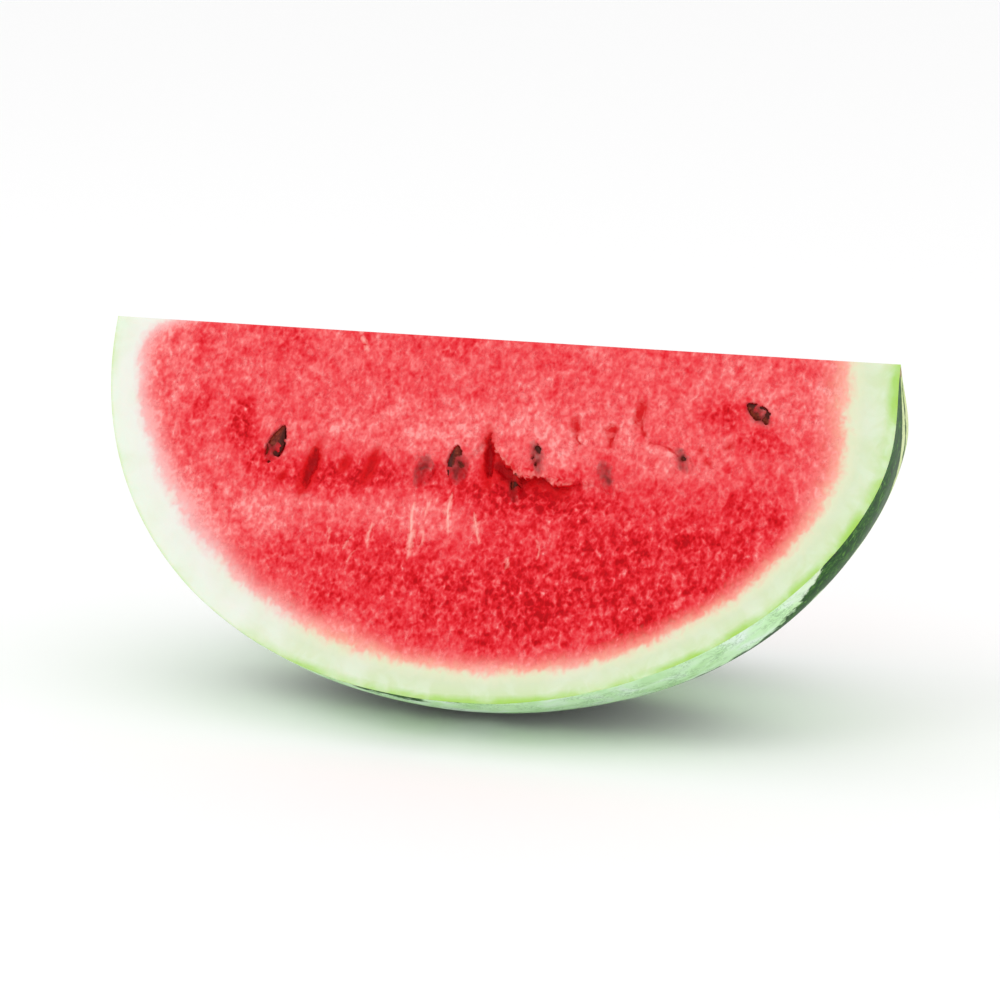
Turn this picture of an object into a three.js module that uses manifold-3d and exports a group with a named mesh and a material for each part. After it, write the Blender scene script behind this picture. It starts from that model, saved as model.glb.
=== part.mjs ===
// A wedge of a round striped watermelon: one sixth of the fruit, cut lengthwise from the stem end to
// the blossom end. It stands on its rind with the ridge, where the two cut faces meet, level on top.
//
// Frame: millimetres, +Z up, +X along the ridge towards the blossom end, the origin in the middle of
// the small flat of rind that it stands on. The two cut faces look towards -Y and +Y.
//
// The flesh and rind grew as one piece, so they are one solid. Each seed that shows in a cut face is a
// piece of its own, loose in a pocket in the flesh.
import * as THREE from "three";
import { mergeVertices } from "three/addons/utils/BufferGeometryUtils.js";
import Module from "manifold-3d";

const wasm = await Module();
wasm.setup();

// The fruit. Its widest section is a circle, and it runs further to the blossom end than to the stem.
const FRUIT_RADIUS = 105;
const STEM_REACH = 117.5;
const STEM_END_FULLNESS = 2.1; // 2 is an ellipse, and more is squarer
const BLOSSOM_REACH = 120.3;
const BLOSSOM_END_FULLNESS = 2;
const DIMPLE_DEPTH = 6; // the hollow of the blossom end
const DIMPLE_RADIUS = 24;

// The cut.
const WEDGE_ANGLE = 60; // degrees between the cut faces
const FOOT_DEPTH = 0.4; // the rind flattens this much where the wedge stands on it
const AXIS_HEIGHT = FRUIT_RADIUS - FOOT_DEPTH;

// How finely the round surfaces are faceted.
const PROFILE_STEPS = 46; // from pole to pole
const TURN_STEPS = 72; // around the fruit
const SEED_STEPS = 10; // along a seed
const SEED_SIDES = 12;

// The seeds and their pockets.
const SEED_LENGTH = 12;
const SEED_WIDTH = 7.4;
const SEED_THICKNESS = 3;
const SEED_PROUD = 0.9; // a seed stands this far out of the cut face
const POCKET_GAP = 0.3;

// Where the seeds show. along is from mid-length to the viewer's right and down is from the ridge.
// The angles are in degrees: lean tips the pointed end to the right, dive tips it into the flesh,
// and roll turns a broad side out. sunk is how much less than SEED_PROUD the seed stands out.
const FRONT_SEEDS = [
  { along: -60.3, down: 35, lean: 14, dive: 0, roll: 64, sunk: 0 },
  { along: -15.3, down: 39.4, lean: 9, dive: 2, roll: 58, sunk: 0.35 },
  { along: -4.8, down: 37.6, lean: -10, dive: -3, roll: -66, sunk: 0.1 },
  { along: 11.9, down: 43.5, lean: 6, dive: -38, roll: 30, sunk: 0.3 },
  { along: 17, down: 33.6, lean: -23, dive: 4, roll: 48, sunk: 0 },
  { along: 38.4, down: 36.4, lean: -19, dive: 6, roll: -58, sunk: 0.6 },
  { along: 57.5, down: 30.6, lean: -46, dive: 24, roll: 48, sunk: 0.4 },
  { along: 77.8, down: 17.2, lean: -55, dive: 0, roll: 60, sunk: 0.4 },
];
const BACK_SEEDS = [
  { along: -76, down: 22, lean: 48, dive: 6, roll: 55, sunk: 0.2 },
  { along: -57, down: 33, lean: 26, dive: 0, roll: -62, sunk: 0 },
  { along: -38, down: 38, lean: 14, dive: 4, roll: 50, sunk: 0.3 },
  { along: -12, down: 39, lean: 5, dive: 0, roll: 64, sunk: 0 },
  { along: 7, down: 40, lean: -8, dive: -28, roll: 40, sunk: 0.3 },
  { along: 24, down: 37, lean: -13, dive: 0, roll: -46, sunk: 0 },
  { along: 48, down: 34, lean: -27, dive: 4, roll: 60, sunk: 0.4 },
  { along: 70, down: 24, lean: -40, dive: 18, roll: -50, sunk: 0.1 },
];

// Sockets that a seed fell out of, measured as the seeds are.
const FRONT_SOCKETS = [
  { along: -47.8, down: 41.9, lean: 11, dive: 0, roll: 40, sunk: 0.2 },
  { along: -30.6, down: 40.1, lean: 10, dive: 10, roll: 30, sunk: 0.6 },
  { along: 5.2, down: 34.6, lean: -21, dive: 0, roll: -30, sunk: 0.4 },
];
const BACK_SOCKETS = [
  { along: -25, down: 41.5, lean: 12, dive: 0, roll: 30, sunk: 0.4 },
  { along: 36, down: 40.5, lean: -16, dive: 8, roll: -35, sunk: 0.2 },
];

// The shallow hollow below the seeds, where the flesh parted along their row.
const FRONT_HOLLOW = { along: 27, down: 49, halfLength: 36, halfHeight: 8.5, depth: 2.4 };
const BACK_HOLLOW = { along: -8, down: 49, halfLength: 32, halfHeight: 8, depth: 2.2 };

// A closed geometry's positions alone, with shared vertices merged, as a solid.
function solidOf(geometry) {
  const bare = (geometry.index ? geometry.toNonIndexed() : geometry.clone())
    .deleteAttribute("normal")
    .deleteAttribute("uv");
  const merged = mergeVertices(bare, 1e-4);
  return new wasm.Manifold(
    new wasm.Mesh({
      numProp: 3,
      vertProperties: new Float32Array(merged.attributes.position.array),
      triVerts: new Uint32Array(merged.index.array),
    }),
  );
}

function geometryOf(solid) {
  const { vertProperties, triVerts, numProp } = solid.getMesh();
  const positions = new Float32Array((vertProperties.length / numProp) * 3);
  for (let i = 0; i < positions.length / 3; i += 1) {
    positions.set(vertProperties.subarray(i * numProp, i * numProp + 3), i * 3);
  }
  const geometry = new THREE.BufferGeometry();
  geometry.setAttribute("position", new THREE.BufferAttribute(positions, 3));
  geometry.setIndex(new THREE.BufferAttribute(new Uint32Array(triVerts), 1));
  geometry.computeVertexNormals();
  return geometry;
}

// The fruit's outline from the stem end to the blossom end: x is the distance from the axis, and y
// runs along the axis, as LatheGeometry takes them.
function fruitOutline() {
  const outline = [];
  for (let i = 0; i <= PROFILE_STEPS; i += 1) {
    const turn = (Math.PI * i) / PROFILE_STEPS;
    const along = -Math.cos(turn);
    const stemHalf = along < 0;
    const fullness = stemHalf ? STEM_END_FULLNESS : BLOSSOM_END_FULLNESS;
    const reach = stemHalf ? STEM_REACH : BLOSSOM_REACH;
    const onAxis = i === 0 || i === PROFILE_STEPS;
    const radius = onAxis ? 0 : FRUIT_RADIUS * Math.sin(turn) ** (2 / fullness);
    const dimple = stemHalf ? 0 : DIMPLE_DEPTH * Math.exp(-((radius / DIMPLE_RADIUS) ** 2));
    const height = Math.sign(along) * reach * Math.abs(along) ** (2 / fullness) - dimple;
    outline.push(new THREE.Vector2(radius, height));
  }
  const heights = outline.map((point) => point.y);
  const middle = (Math.min(...heights) + Math.max(...heights)) / 2;
  return outline.map((point) => new THREE.Vector2(point.x, point.y - middle));
}

function wholeFruit() {
  const halfFacet = Math.PI / TURN_STEPS;
  return new THREE.LatheGeometry(fruitOutline(), TURN_STEPS, halfFacet)
    .rotateZ(-Math.PI / 2)
    .translate(0, 0, AXIS_HEIGHT);
}

// What the knife leaves: all that lies between the two planes through the axis.
function betweenTheCuts() {
  const reach = 2 * FRUIT_RADIUS;
  const halfAngle = THREE.MathUtils.degToRad(WEDGE_ANGLE / 2);
  const section = new THREE.Shape([
    new THREE.Vector2(0, 0),
    new THREE.Vector2(-reach * Math.sin(halfAngle), -reach * Math.cos(halfAngle)),
    new THREE.Vector2(reach * Math.sin(halfAngle), -reach * Math.cos(halfAngle)),
  ]);
  return new THREE.ExtrudeGeometry(section, { depth: 2 * reach, bevelEnabled: false })
    .translate(0, 0, -reach)
    .rotateX(Math.PI / 2)
    .rotateZ(Math.PI / 2)
    .translate(0, 0, AXIS_HEIGHT);
}

function belowTheFoot() {
  const side = 4 * FRUIT_RADIUS;
  return new THREE.BoxGeometry(side, side, side).translate(0, 0, -side / 2);
}

// A seed with its pointed end up. grown thickens it all round, for the pocket that it lies in.
function seedShape(grown = 0) {
  const length = SEED_LENGTH + 2 * grown;
  const outline = [];
  for (let i = 0; i <= SEED_STEPS; i += 1) {
    const share = i / SEED_STEPS;
    const atEnd = i === 0 || i === SEED_STEPS;
    const taper = 1 - 0.45 * share ** 2; // narrower towards the point
    const swell = atEnd ? 0 : Math.sin(Math.PI * share) ** 0.62 * taper;
    outline.push(new THREE.Vector2(swell, (share - 0.5) * length));
  }
  return new THREE.LatheGeometry(outline, SEED_SIDES)
    .rotateX(Math.PI / 2)
    .scale(SEED_THICKNESS / 2 + grown, SEED_WIDTH / 2 + grown, 1);
}

// A seed, or its pocket, turned and moved to its place in a cut face. There X runs to the viewer's
// right, -Z down from the ridge and +Y into the flesh.
function placedSeed({ along, down, lean, dive, roll, sunk }, grown = 0) {
  const [x, y, z] = [-dive, lean, roll].map(THREE.MathUtils.degToRad);
  const turned = new THREE.Matrix4().makeRotationFromEuler(new THREE.Euler(x, y, z, "YXZ"));
  const seed = seedShape().applyMatrix4(turned);
  seed.computeBoundingBox();
  const depth = sunk - SEED_PROUD - seed.boundingBox.min.y;
  return seedShape(grown).applyMatrix4(turned).translate(along, depth, -down);
}

const FLESH = new THREE.MeshStandardMaterial({ color: 0xee4f55, roughness: 0.45, metalness: 0 });
const SEED_COAT = new THREE.MeshStandardMaterial({ color: 0x2b1611, roughness: 0.35, metalness: 0 });

// One cut face: a group turned to stand in the face, the seeds that show in it, and what is cut away
// for them as solids in the part's frame.
function cutFace(side, seeds, sockets, hollow) {
  const frame = new THREE.Group();
  frame.position.z = AXIS_HEIGHT;
  const tilt = THREE.MathUtils.degToRad(WEDGE_ANGLE / 2);
  frame.rotation.x = side === "front" ? -tilt : tilt;
  const facing = new THREE.Group();
  facing.rotation.z = side === "front" ? 0 : Math.PI;
  frame.add(facing);

  seeds.forEach((seed, i) => {
    const mesh = new THREE.Mesh(placedSeed(seed), SEED_COAT);
    mesh.name = `seed_${side}_${i + 1}`;
    facing.add(mesh);
  });
  frame.updateMatrixWorld(true);

  const pockets = [...seeds, ...sockets].map((seed) => placedSeed(seed, POCKET_GAP));
  const bowl = new THREE.SphereGeometry(1, 24, 10)
    .scale(hollow.halfLength, hollow.depth, hollow.halfHeight)
    .translate(hollow.along, 0, -hollow.down);
  const cuts = [...pockets, bowl].map((cut) => solidOf(cut.applyMatrix4(facing.matrixWorld)));
  return { frame, cuts };
}

const front = cutFace("front", FRONT_SEEDS, FRONT_SOCKETS, FRONT_HOLLOW);
const back = cutFace("back", BACK_SEEDS, BACK_SOCKETS, BACK_HOLLOW);

let flesh = solidOf(wholeFruit())
  .intersect(solidOf(betweenTheCuts()))
  .subtract(solidOf(belowTheFoot()));
for (const cut of [...front.cuts, ...back.cuts]) {
  flesh = flesh.subtract(cut);
}

const wedge = new THREE.Mesh(geometryOf(flesh), FLESH);
wedge.name = "melon_wedge";

const part = new THREE.Group();
part.add(wedge, front.frame, back.frame);

export default part;
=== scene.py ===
# %% [markdown]
# # A wedge of watermelon
#
# A striped melon is cut lengthwise into six, and one sixth stands on its rind. Two things grew here:
# the fruit itself, which is skin, pale rind and red flesh all in one piece, and the seeds, which lie
# loose in little pockets. So there is one large piece to model, and sixteen small ones.
#
# The solid frame gives the true size and the places of the seeds. Everything that shows is made
# below: first the mesh of the wedge and its relief, then the seeds, the finishes and the light.

import math

import bmesh
import bpy
import numpy as np
from mathutils import Matrix, Vector, noise


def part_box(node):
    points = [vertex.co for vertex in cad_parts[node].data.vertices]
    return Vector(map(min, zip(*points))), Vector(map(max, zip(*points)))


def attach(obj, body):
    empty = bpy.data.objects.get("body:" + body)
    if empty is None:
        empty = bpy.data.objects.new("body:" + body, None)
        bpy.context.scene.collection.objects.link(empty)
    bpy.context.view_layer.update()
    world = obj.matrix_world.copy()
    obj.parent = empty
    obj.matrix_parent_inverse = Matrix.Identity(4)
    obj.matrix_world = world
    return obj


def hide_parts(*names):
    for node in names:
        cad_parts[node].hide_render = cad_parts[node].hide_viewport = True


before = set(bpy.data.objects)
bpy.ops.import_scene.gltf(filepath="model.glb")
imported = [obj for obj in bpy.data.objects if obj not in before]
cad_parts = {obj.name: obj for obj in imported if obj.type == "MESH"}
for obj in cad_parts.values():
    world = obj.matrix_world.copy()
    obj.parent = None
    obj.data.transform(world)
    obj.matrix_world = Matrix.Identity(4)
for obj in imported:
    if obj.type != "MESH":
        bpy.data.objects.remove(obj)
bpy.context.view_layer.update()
MM = 0.001

# %% [markdown]
# ## The camera
#
# The wedge is seen from a little above and a little to the right of straight on. A camera could be
# turned by hand until the view looks right. Here two angles and a distance place it, because each can
# be read and changed by itself. A long lens keeps the level ridge and the round rind in proportion.

# %% Place the camera
AZIMUTH, ELEVATION = math.radians(17.8), math.radians(14.25)
CAMERA_DISTANCE = 0.85
LENS, SENSOR_WIDTH = 107, 36
camera_aim = Vector((1.5, 0, 57.9)) * MM
towards_camera = Vector(
    (
        math.sin(AZIMUTH) * math.cos(ELEVATION),
        -math.cos(AZIMUTH) * math.cos(ELEVATION),
        math.sin(ELEVATION),
    )
)
camera = bpy.data.objects.new("camera", bpy.data.cameras.new("camera"))
bpy.context.scene.collection.objects.link(camera)
camera.location = camera_aim + towards_camera * CAMERA_DISTANCE
camera.rotation_euler = (-towards_camera).to_track_quat("-Z", "Y").to_euler()
camera.data.sensor_width = SENSOR_WIDTH
camera.data.lens = LENS
bpy.context.scene.camera = camera
print("camera at", [round(c, 3) for c in camera.location])

# %% [markdown]
# ## The fruit's outline
#
# A melon is nearly a body of revolution about the line from its stem to its blossom end. Its outline
# could be drawn as a curve through points. A formula is used instead, because it also tells how deep
# any place lies under the skin, which the rind's colours need. It is close to an ellipse: a little
# squarer at the stem end, and dimpled at the blossom end. All its lengths are in millimetres.

# %% The outline and its two halves
RADIUS = 105
STEM_REACH, STEM_FULLNESS = 117.5, 2.1
BLOSSOM_REACH, BLOSSOM_FULLNESS = 120.3, 2.0
DIMPLE_DEPTH, DIMPLE_RADIUS = 6, 24
MIDDLE = -1.2  # of its length, as the outline is first drawn
RIDGE_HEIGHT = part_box("melon_wedge")[1].z / MM


def half_shape(stem_half):
    return (STEM_REACH, STEM_FULLNESS) if stem_half else (BLOSSOM_REACH, BLOSSOM_FULLNESS)


def dimple(radius):
    """How far the blossom end is drawn in, at a distance from the axis."""
    return DIMPLE_DEPTH * math.exp(-((radius / DIMPLE_RADIUS) ** 2))


def outline(share):
    """A point (along the axis, away from it), with share 0 at the stem end and 1 at the blossom end."""
    turn = math.pi * share
    stem_half = share < 0.5
    reach, fullness = half_shape(stem_half)
    radius = RADIUS * max(math.sin(turn), 0) ** (2 / fullness)
    if share in (0, 1):
        radius = 0
    along = -math.copysign(abs(math.cos(turn)) ** (2 / fullness), math.cos(turn)) * reach
    return along - (0 if stem_half else dimple(radius)) - MIDDLE, radius


print("outline from", round(outline(0)[0], 1), "to", round(outline(1)[0], 1), "mm along")

# %% [markdown]
# ## The depth under the skin
#
# The colours of the rind go by how deep a place lies under the skin. That could be measured on the
# mesh, but only slowly. The outline's formula tells it at once: how far a point falls short of the
# skin is divided by how fast the formula changes there. That is exact near the skin, and close enough
# further in.

# %% How deep a place lies under the skin
ALMOST_ZERO = 1e-6


def depth_below_skin(along, radius):
    """The depth under the skin in millimetres: positive inside the fruit."""
    along = along + MIDDLE
    stem_half = along < 0
    reach, power = half_shape(stem_half)
    if not stem_half:
        along += dimple(radius)
    length, width = max(abs(along), ALMOST_ZERO), max(radius, ALMOST_ZERO)
    size = ((length / reach) ** power + (width / RADIUS) ** power) ** (1 / power)  # 1 on the skin
    slope = size ** (1 - power) * math.hypot(
        length ** (power - 1) / reach**power, width ** (power - 1) / RADIUS**power
    )
    return (1 - size) / slope


print("10 mm above the lowest skin it is", round(depth_below_skin(0, RADIUS - 10), 1), "mm deep")

# %% [markdown]
# ## Two cut faces and their frames
#
# Each cut is a flat face that leans at half the wedge's angle. A face could be modelled where it
# stands, but its marks are easier to think about on a flat sheet. So each one is made lying flat, in a
# frame of its own: X runs to the right along the ridge, -Z down the face, and +Y into the flesh. A
# matrix then stands it up in the wedge.

# %% The frame of each cut face
WEDGE_DEGREES = 60
half_angle = math.radians(WEDGE_DEGREES / 2)
up_to_ridge = Matrix.Translation((0, 0, RIDGE_HEIGHT))
turned_round = Matrix.Rotation(math.pi, 4, "Z")
face_frame = {
    "front": up_to_ridge @ Matrix.Rotation(-half_angle, 4, "X"),
    "back": up_to_ridge @ Matrix.Rotation(half_angle, 4, "X") @ turned_round,
}
print("ridge", round(RIDGE_HEIGHT, 1), "mm above the table")

# %% [markdown]
# ## Where the seeds lie
#
# The solid frame has a plain seed in each pocket. The places could be typed in again, but then they
# could disagree with the solids. So each seed is measured: its longest, middle and shortest directions
# say how it lies, and the end that is narrower is its point.

# %% The swell of a seed
SEED_TAPER = 0.45
WIDEST = 0.895  # the greatest value of the swell before it is divided by this


def seed_swell(share):
    """How wide a seed is at a share of its length, from its round end to its pointed end."""
    if share <= 0 or share >= 1:
        return 0
    return math.sin(math.pi * share) ** 0.62 * (1 - SEED_TAPER * share**2) / WIDEST


print("swell at the middle", round(seed_swell(0.5), 2), "and near the point", round(seed_swell(0.95), 2))

# %% Measure every seed in its face's frame
END_PART = 0.25  # of a seed's length: what lies further from its middle is one of its ends


def measure_seed(name, side):
    to_face = face_frame[side].inverted() @ Matrix.Scale(1 / MM, 4)
    points = np.array([to_face @ v.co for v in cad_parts[name].data.vertices])
    _, axes = np.linalg.eigh(np.cov(points.T))  # columns run from the shortest to the longest
    reach = points @ axes
    low, high = reach.min(axis=0), reach.max(axis=0)
    middle = (low + high) / 2
    end = END_PART * (high[2] - low[2])
    upper = reach[reach[:, 2] > middle[2] + end]
    lower = reach[reach[:, 2] < middle[2] - end]
    if np.ptp(upper[:, 1]) > np.ptp(lower[:, 1]):  # the pointed end is made the high one
        axes[:, 2] *= -1
        middle[2] *= -1
    if np.linalg.det(axes) < 0:
        axes[:, 0] *= -1
        middle[0] *= -1
    return {
        "name": name,
        "side": side,
        "axes": Matrix(axes.tolist()),
        "centre": Vector((axes @ middle).tolist()),
        "half": Vector(((high - low) / 2).tolist()),
    }


SEEDS_ON_A_FACE = 8
seeds = {
    side: [measure_seed(f"seed_{side}_{i + 1}", side) for i in range(SEEDS_ON_A_FACE)]
    for side in ("front", "back")
}
for seed in seeds["front"]:
    print(seed["name"], [round(c, 1) for c in seed["centre"]], [round(c, 1) for c in seed["half"]])

# %% [markdown]
# ## The seam
#
# The knife leaves a flat face, but the flesh isn't even. The row of seeds is a weak place: it has
# parted there, so the flesh above overhangs a shallow hollow. Sculpting by hand would give the same
# shape, but a line of places can be read and moved, and makes the same seam each time.
#
# All places on a face are (along, down) in millimetres, from the middle of the ridge.

# %% The line of the seam
SEAM = {
    # along, down, how deep the hollow is below it, how wide the step down to it is
    "front": [
        (-60, 35, 0, 3), (-51, 37, 0.5, 3), (-42, 38.5, 0.7, 2.5), (-31, 36.5, 0.8, 2.5),
        (-24, 37.5, 0.7, 2.5), (-16, 35.5, 1.0, 2), (-9, 37, 1.0, 2), (-3, 34.5, 1.2, 1.5),
        (2, 30.5, 1.5, 1.2), (5.5, 32.5, 2.0, 0.6), (9.5, 36.5, 2.3, 0.5), (13.2, 38.7, 2.6, 0.4),
        (19.8, 38.8, 2.6, 0.4), (23.6, 40.7, 2.5, 0.4), (26.8, 41.2, 2.1, 0.5), (30, 40, 1.5, 1.0),
        (35, 39.8, 1.2, 1.6), (41, 40.3, 1.0, 2), (48, 39.6, 0.9, 2), (53, 37, 0.8, 1.4),
        (59, 32.5, 0.6, 1.2), (65, 28, 0, 2),
    ],
    "back": [
        (-62, 31, 0, 3), (-52, 34, 0.7, 3), (-44, 37, 1.0, 2), (-33, 39.5, 1.6, 1.2),
        (-25, 38, 1.8, 0.8), (-15, 39.6, 2.4, 0.5), (-6, 41.5, 2.6, 0.5), (4, 40, 2.4, 0.5),
        (12, 41, 2.0, 0.8), (21, 37, 1.4, 1.5), (30, 39.5, 1.2, 2), (38, 38, 1.0, 2),
        (46, 35, 0.8, 2.5), (56, 31, 0, 3),
    ],
}
print("seam from", SEAM["front"][0][0], "to", SEAM["front"][-1][0], "mm on the front face")

# %% [markdown]
# ## Sockets and cracks
#
# Seeds that fell out left smooth, wet sockets, and short cracks run up from the seam. Both could be
# cut out with a boolean, but that leaves a rim like a stamped hole. Here they are ovals and lines that
# the surface sinks along, so noise can give them the soft, ragged rim of torn flesh.

# %% The sockets and the cracks
SOCKETS = {
    # along, down, lean of its top to the right in degrees, half length, half width, depth
    "front": [
        (-48.4, 41.4, 11, 6.6, 2.0, 1.8), (-30.8, 39.9, 15, 4.6, 1.6, 1.2),
        (3.7, 34.8, -5, 6.6, 1.8, 2.8), (8.6, 38.2, -52, 5.4, 2.4, 2.5),
        (-38.5, 39.6, 20, 2.0, 1.3, 0.9), (27.4, 23.7, -14, 2.3, 1.1, 0.5),
        (37.8, 24.2, 78, 1.6, 1.0, 0.35), (45.2, 18.9, 6, 3.1, 1.3, 0.6),
        (63.6, 28.2, 20, 0.9, 0.7, 0.3), (66, 31.6, -30, 1.0, 0.6, 0.2),
        (71.5, 26.5, 60, 1.1, 0.6, 0.2), (-56.5, 44.8, 40, 1.6, 0.9, 0.6),
    ],
    "back": [
        (-25, 41.5, 12, 5.8, 1.9, 2.3), (36, 40.5, -16, 6.2, 1.9, 2.1), (15.5, 41, -5, 3.0, 1.2, 1.3),
        (-20.4, 25.5, 6, 2.4, 1.0, 0.5), (-30.9, 25.8, -6, 3.0, 1.2, 0.6), (1.1, 27.6, 9, 2.2, 0.9, 0.5),
    ],
}
CRACKS = {
    # how wide each one is, and the places that it runs through
    "front": [
        (0.4, [(27.6, 24.6), (28, 26.4), (29.6, 29)]),
        (0.5, [(38.9, 24.4), (38.9, 26.3), (38.4, 29.1)]),
        (0.4, [(45.4, 20.4), (46, 22.7), (47, 25.2)]),
        (0.3, [(49.2, 27.1), (52.6, 27.6), (55.6, 28.8), (57.6, 30.4)]),
    ],
    "back": [
        (0.4, [(-20.6, 26.5), (-19.8, 29), (-18.2, 31.5)]),
        (0.45, [(-31, 27.5), (-30, 31), (-31.2, 34.5)]),
        (0.4, [(1.2, 28.5), (1.8, 31), (0.9, 34)]),
    ],
}
print("sockets", [len(SOCKETS[s]) for s in seeds], "cracks", [len(CRACKS[s]) for s in seeds])

# %% [markdown]
# ## Pale fibres
#
# Strings of pale tissue feed the seeds, and the knife bares them as thin lines that run down from the
# seam towards the rind. Hair curves could stand for them, but real ones lie in the surface and don't
# stand off it. So they are lines too, raised by about a tenth of a millimetre.

# %% The fibres
FIBRES = {
    # how strong each one shows, and the places that it runs through
    "front": [
        (1.2, [(-15.4, 46.5), (-15.9, 53), (-14.9, 60), (-15.3, 68.4)]),
        (1.2, [(-5.1, 44.5), (-5.6, 51), (-4.8, 55), (-4.2, 60)]),
        (1.0, [(1.9, 50), (3.6, 55.5), (5.5, 61.5)]),
        (0.9, [(-26.8, 55), (-27.6, 60), (-27.2, 64.8)]),
        (0.7, [(-10.5, 46.5), (-11.8, 51), (-12.6, 55)]),
        (0.6, [(-12.2, 54), (-11.4, 60), (-12.8, 64)]),
        (0.6, [(14.2, 62), (13.5, 68)]),
        (0.5, [(-40.5, 57), (-39, 61), (-39.4, 65)]),
        (0.5, [(-34.8, 66), (-33.4, 62), (-31, 58.5)]),
        (0.4, [(-33, 70), (-31.6, 65.5), (-28, 62)]),
        (0.4, [(20, 55), (22.5, 60), (22, 66)]),
        (0.35, [(-21, 50), (-22.4, 57), (-21.2, 62)]),
        (0.9, [(-41.4, -2), (-38.2, 3.8), (-36.6, 8)]),
    ],
    "back": [
        (0.8, [(-9, 47), (-9.8, 55), (-8.4, 64)]),
        (0.7, [(4, 48), (4.6, 56), (3.2, 62.5)]),
        (0.5, [(22, 50), (23.4, 57)]),
        (0.8, [(-22, 50), (-23.4, 56.5), (-22.8, 66)]),
        (0.6, [(34, 52), (32.6, 60), (33.5, 66)]),
    ],
}
print("fibres", [len(FIBRES[s]) for s in seeds])

# %% [markdown]
# ## Wet flesh, dry flesh, and painted light and shade
#
# Flesh is redder where it is wet, low on the face, and pinker where it has dried. Some patches are
# painted light and shade: paler high on the face, where the light falls, and redder just under the
# seam, partly from juice and partly as painted shade. Noise alone would scatter that by chance. Soft
# ovals put each patch where it belongs, and the finish breaks up their edges later.

# %% The wet and the dry patches, with painted light and shade
DRYNESS = 0.59  # of the flesh at large, from 0, wet and red, to 1, dry and pale
DRYNESS_AND_LIGHT_PATCHES = {
    # along, down, half length, half height, and how much paler and drier it is there, or redder and
    # wetter if below 0: high on the face the paleness is partly painted light, and just under the seam
    # the red is partly painted shade
    "front": [
        (44, 71, 60, 21, -0.36), (74, 50, 22, 12, -0.16), (-35, 73, 42, 13, -0.16),
        (0, 2, 110, 8, -0.05), (16, 76, 16, 9, -0.12), (50, 18, 48, 15, 0.10),
        (-30, 24, 30, 7, 0.08), (10, 57, 10, 4, 0.10), (92, 40, 14, 20, -0.06),
        (-98, 22, 12, 20, 0.10), (-62, 56, 34, 7, 0.14), (-14, 54, 18, 5, 0.20),
        (18, 27, 34, 8, 0.09), (-18, 31, 22, 5, 0.10), (52, 34, 9, 5, 0.12),
        (-71, 30.5, 4.2, 7, -0.42), (-84, 25, 4, 6, -0.16), (68.5, 17.5, 6, 5, -0.42),
        (80, 24, 8, 4, -0.22), (-64, 40, 4, 5, -0.3), (-46, 43.5, 12, 5, -0.45),
        (-29, 42, 8, 4.5, -0.36), (-10, 42, 12, 4.5, -0.22), (12, 44, 14, 6, -0.45),
        (30, 46, 16, 5, -0.25), (-92, 48, 10, 12, 0.08),
    ],
    "back": [
        (-36, 72, 60, 20, -0.34), (38, 73, 40, 13, -0.16), (0, 2, 110, 8, -0.07),
        (-60, 56, 26, 7, 0.12), (-4, 56, 22, 5, 0.20), (-14, 26, 30, 9, 0.10), (30, 29, 20, 7, 0.1),
        (-66, 27, 6, 6, -0.34), (78, 24, 6, 6, -0.34), (-10, 46, 24, 5, -0.4), (34, 45, 10, 5, -0.4),
    ],
}
print("patches", [len(DRYNESS_AND_LIGHT_PATCHES[s]) for s in seeds])

# %% [markdown]
# ## The film over the seeds, and the greenest rind
#
# The knife seldom bares a whole seed. A film of flesh stays on it, torn here and there. A thin sheet
# could be laid over each seed, but the film is the wedge's own flesh. So two numbers for each seed say
# how well the film holds, and the surface will run just over the seed, or behind it where it is torn.
#
# Right under the skin the rind keeps a line of fresh green, broader in some places, listed here too.

# %% How much film each seed has, and where the rind is greenest
FILM = {
    # at the round end and at the point: with less film more of the seed is bare
    "front": [
        (0.35, 0.15), (1.1, 1.05), (0.72, 0.65), (1.6, 0.6),
        (0.65, 0.7), (1.0, 1.1), (0.75, 0.85), (0.5, 0.55),
    ],
    "back": [
        (0.35, 0.2), (0.4, 0.3), (0.9, 0.95), (0.4, 0.6),
        (0.9, 0.5), (0.5, 0.4), (0.7, 0.9), (0.6, 0.3),
    ],
}
LIME = {
    # along, down, half length, half height
    "front": [
        (115.5, 8, 3.5, 8), (107, 48, 3.5, 7), (98, 64, 4, 6), (-34, 99, 16, 3), (-62, 88, 10, 4),
        (14, 103, 30, 2.5), (60, 87, 20, 4), (84, 76, 8, 5),
    ],
    "back": [(116, 10, 3, 8), (100, 56, 4, 9), (40, 96, 22, 3), (-50, 92, 14, 4), (-20, 101, 16, 3)],
}
print("seeds with film", [len(FILM[s]) for s in seeds])

# %% [markdown]
# ## Reading a place on a face
#
# Every mark asks the same few questions: how near is this line, am I inside this oval, how strong is
# the noise here? Geometry nodes could answer them on the finished mesh. Plain functions are used
# instead, because the mesh itself has to know where to be finer before the marks are pressed in.

# %% Small helpers for the marks
def smooth(value, low, high):
    """0 up to low and 1 from high on, with an even rise between them."""
    share = min(max((value - low) / (high - low), 0), 1)
    return share * share * (3 - 2 * share)


def grain(along, down, size, key):
    """Smooth noise from -1 to 1 with bumps of that size, in millimetres. key picks another pattern."""
    return noise.noise(Vector((along / size, down / size, key * 7.3)))


def follow(line, along):
    """The values of a line of points at a place along it, or None beyond its ends."""
    for start, end in zip(line, line[1:]):
        if start[0] <= along <= end[0]:
            share = smooth(along, start[0], end[0])
            return [a + (b - a) * share for a, b in zip(start[1:], end[1:])]
    return None


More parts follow.
